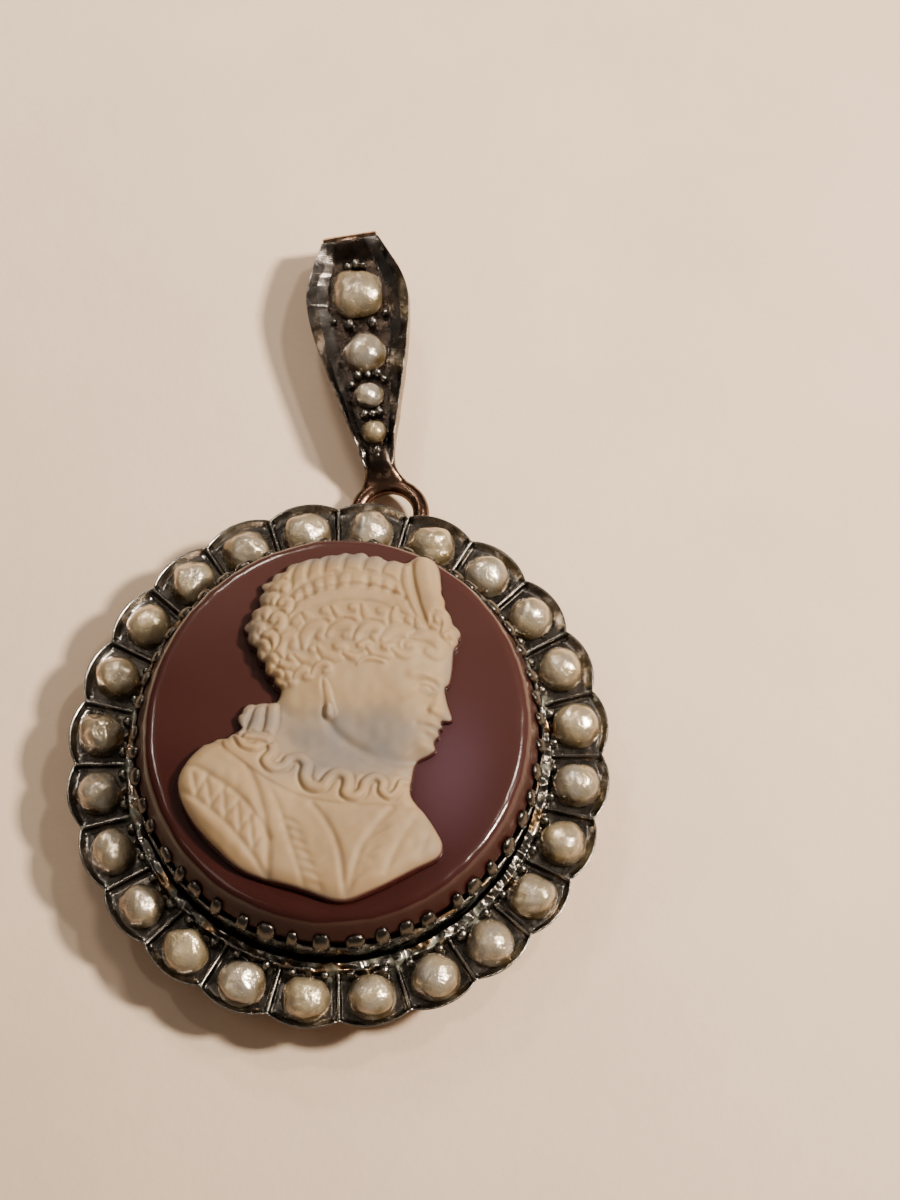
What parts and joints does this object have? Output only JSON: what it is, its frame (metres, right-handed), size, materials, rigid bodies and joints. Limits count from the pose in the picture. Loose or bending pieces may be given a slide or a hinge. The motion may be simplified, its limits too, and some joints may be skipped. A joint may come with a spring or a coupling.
{
  "type": "cameo pendant",
  "caption": "Oval banded-stone cameo of a bust in a scalloped silver border of half pearls, hung from a tapered pearl-set bail.",
  "frame": {"origin": "middle of the closed back, on the plane that the pendant lies on", "axes": "+Z out of the carved face, +Y along the pendant towards its bail, +X to the right of the face"},
  "size_m": [0.0284, 0.0476, 0.0086],
  "materials": {
    "dark_silver": "oxidised silver, worn bright on its edges",
    "sard": "polished dark red-brown layer of banded agate",
    "pale_layer": "satin cream layer of banded agate, bluish where thin",
    "half_pearl": "lustrous cream nacre"
  },
  "bodies": {
    "root": {"frame": "dark_silver", "cameo_ground": "sard", "cameo_relief": "pale_layer", "bail": "dark_silver", "border_pearl_01": "half_pearl", "border_pearl_02": "half_pearl", "border_pearl_03": "half_pearl", "border_pearl_04": "half_pearl", "border_pearl_05": "half_pearl", "border_pearl_06": "half_pearl", "border_pearl_07": "half_pearl", "border_pearl_08": "half_pearl", "border_pearl_09": "half_pearl", "border_pearl_10": "half_pearl", "border_pearl_11": "half_pearl", "border_pearl_12": "half_pearl", "border_pearl_13": "half_pearl", "border_pearl_14": "half_pearl", "border_pearl_15": "half_pearl", "border_pearl_16": "half_pearl", "border_pearl_17": "half_pearl", "border_pearl_18": "half_pearl", "border_pearl_19": "half_pearl", "border_pearl_20": "half_pearl", "border_pearl_21": "half_pearl", "border_pearl_22": "half_pearl", "border_pearl_23": "half_pearl", "border_pearl_24": "half_pearl", "bail_pearl_1": "half_pearl", "bail_pearl_2": "half_pearl", "bail_pearl_3": "half_pearl", "bail_pearl_4": "half_pearl"}
  },
  "joints": []
}
